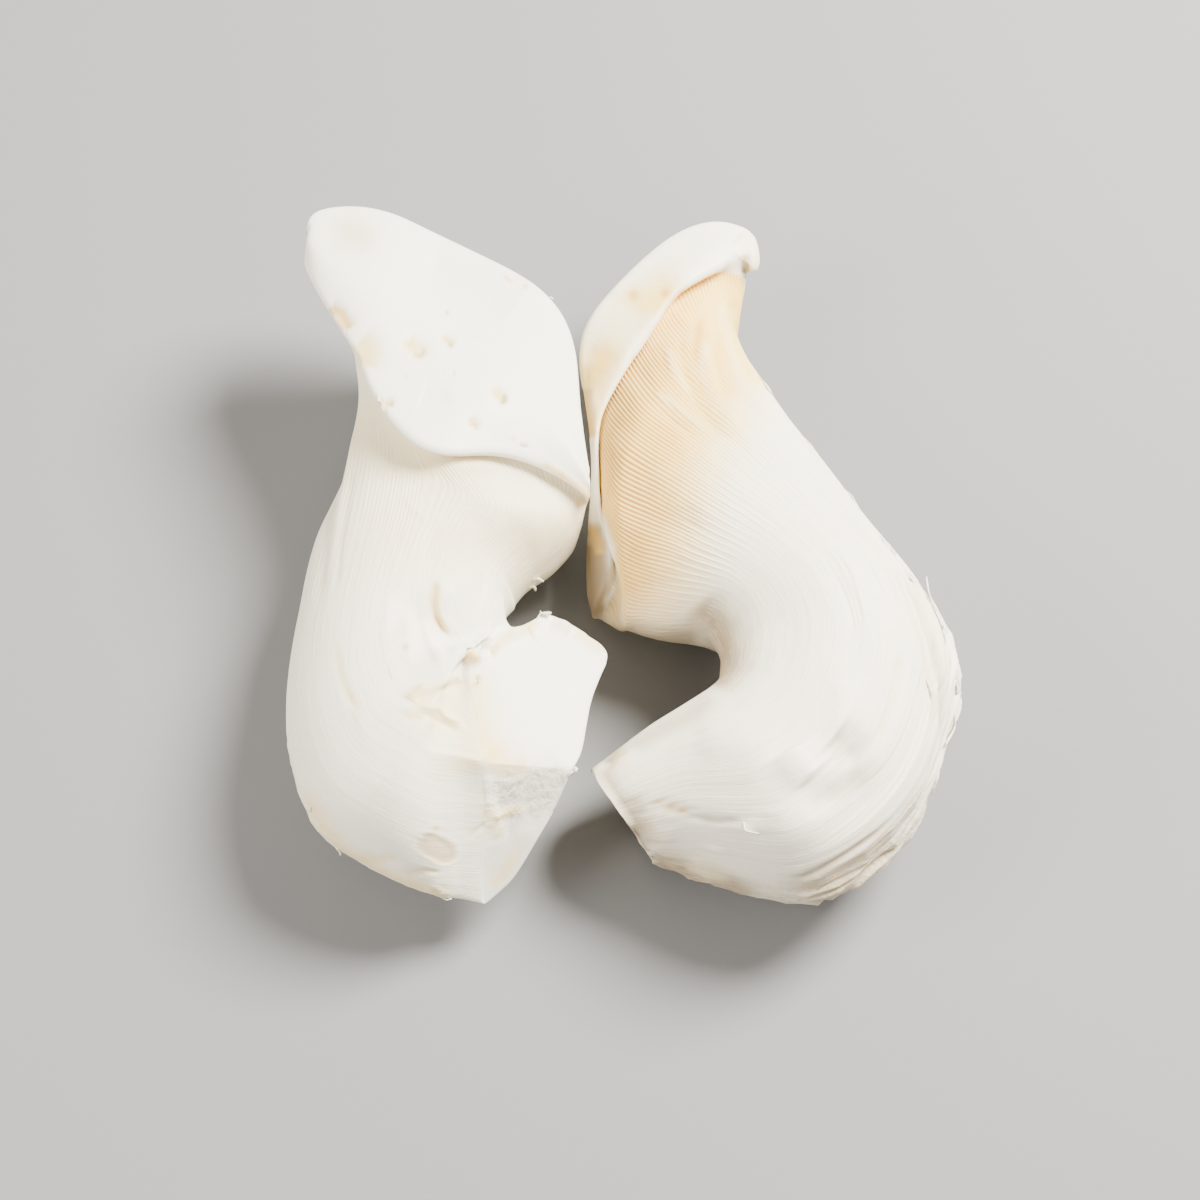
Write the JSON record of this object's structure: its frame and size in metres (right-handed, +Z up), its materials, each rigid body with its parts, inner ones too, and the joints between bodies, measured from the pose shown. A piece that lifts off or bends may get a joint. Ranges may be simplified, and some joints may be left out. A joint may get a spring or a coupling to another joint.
{
  "type": "abalone mushroom cluster",
  "caption": "Thick pale oyster-type mushrooms lying side by side with bent stems, knife-cut feet, fine gills running down the stems and rolled fan-shaped caps.",
  "frame": {"origin": "on the table surface, under the middle of the pair's bounding box", "axes": "+Z up from the table, +Y along the mushrooms from the cut feet towards the caps, +X to the right as seen from the feet"},
  "size_m": [0.1358, 0.1566, 0.0448],
  "materials": {
    "left_flesh": "matte ivory mushroom flesh",
    "right_flesh": "matte ivory mushroom flesh"
  },
  "bodies": {
    "root": {"mushroom_left": "left_flesh", "mushroom_right": "right_flesh"}
  },
  "joints": []
}
